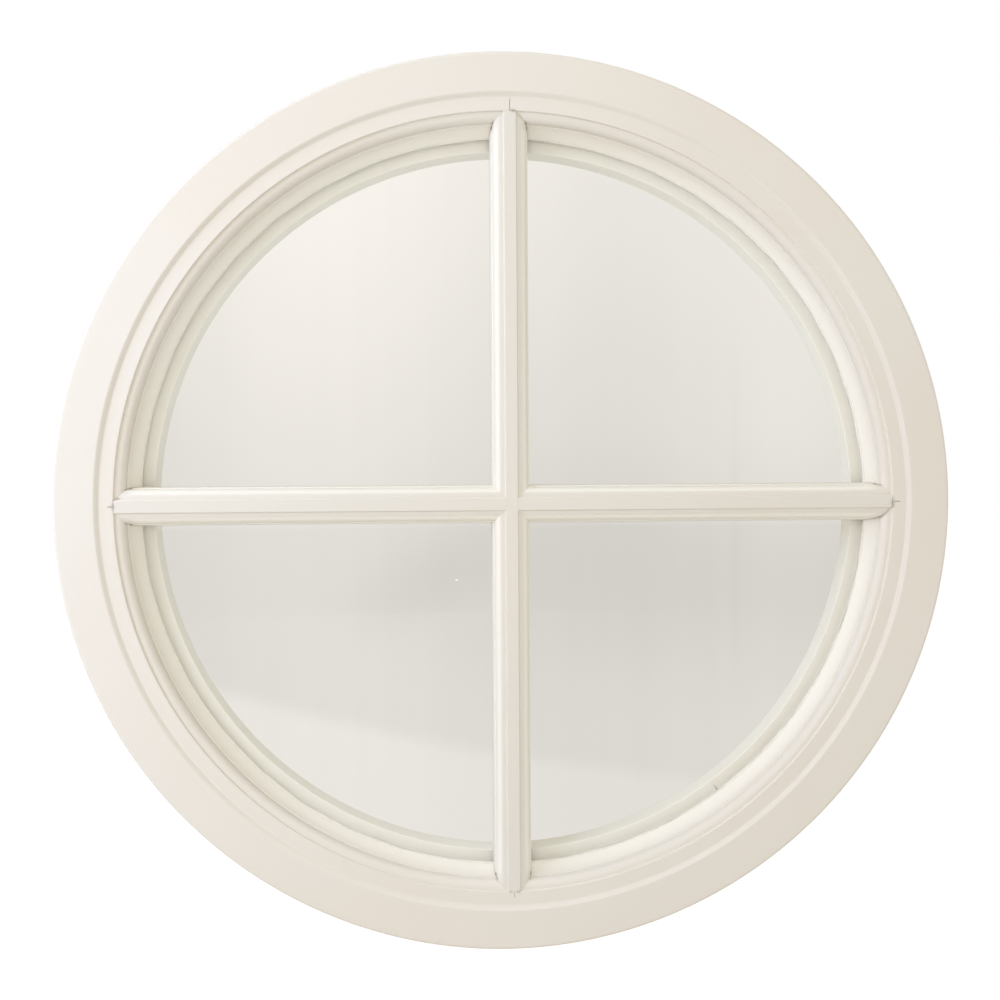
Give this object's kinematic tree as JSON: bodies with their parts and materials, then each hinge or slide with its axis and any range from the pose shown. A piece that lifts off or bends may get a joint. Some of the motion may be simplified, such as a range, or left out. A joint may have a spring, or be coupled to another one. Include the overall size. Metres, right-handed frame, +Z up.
{
  "type": "round window",
  "caption": "Fixed round timber window: rebated painted ring, moulded glazing bead, one glass disc and a cross of moulded glazing bars; closes a round wall opening.",
  "frame": {"origin": "on the window's axis, halfway through the depth of the frame", "axes": "+Z up, +X to the right seen from outside, +Y from outside to inside along the window's axis"},
  "size_m": [0.6, 0.04, 0.6],
  "materials": {
    "frame_paint": "cream white satin paint",
    "bead_paint": "cream white satin paint",
    "bar_paint": "cream white satin paint",
    "glass": "clear float glass",
    "bedding": "grey glazing compound",
    "tape": "pale foam tape",
    "block": "moulded plastic",
    "dowel": "bare beech",
    "pin": "bright steel"
  },
  "bodies": {
    "root": {"frame_felloe_right": "frame_paint", "frame_felloe_bottom": "frame_paint", "frame_felloe_left": "frame_paint", "frame_felloe_top": "frame_paint", "frame_dowels": "dowel", "bead_lower_right": "bead_paint", "bead_lower_left": "bead_paint", "bead_upper_left": "bead_paint", "bead_upper_right": "bead_paint", "bead_pins": "pin", "glass_pane": "glass", "front_bedding": "bedding", "rear_bedding": "bedding", "setting_blocks": "block", "bar_vertical": "bar_paint", "bar_left": "bar_paint", "bar_right": "bar_paint", "front_bar_tape": "tape", "rear_bar_vertical": "bar_paint", "rear_bar_left": "bar_paint", "rear_bar_right": "bar_paint", "rear_bar_tape": "tape"}
  },
  "joints": []
}
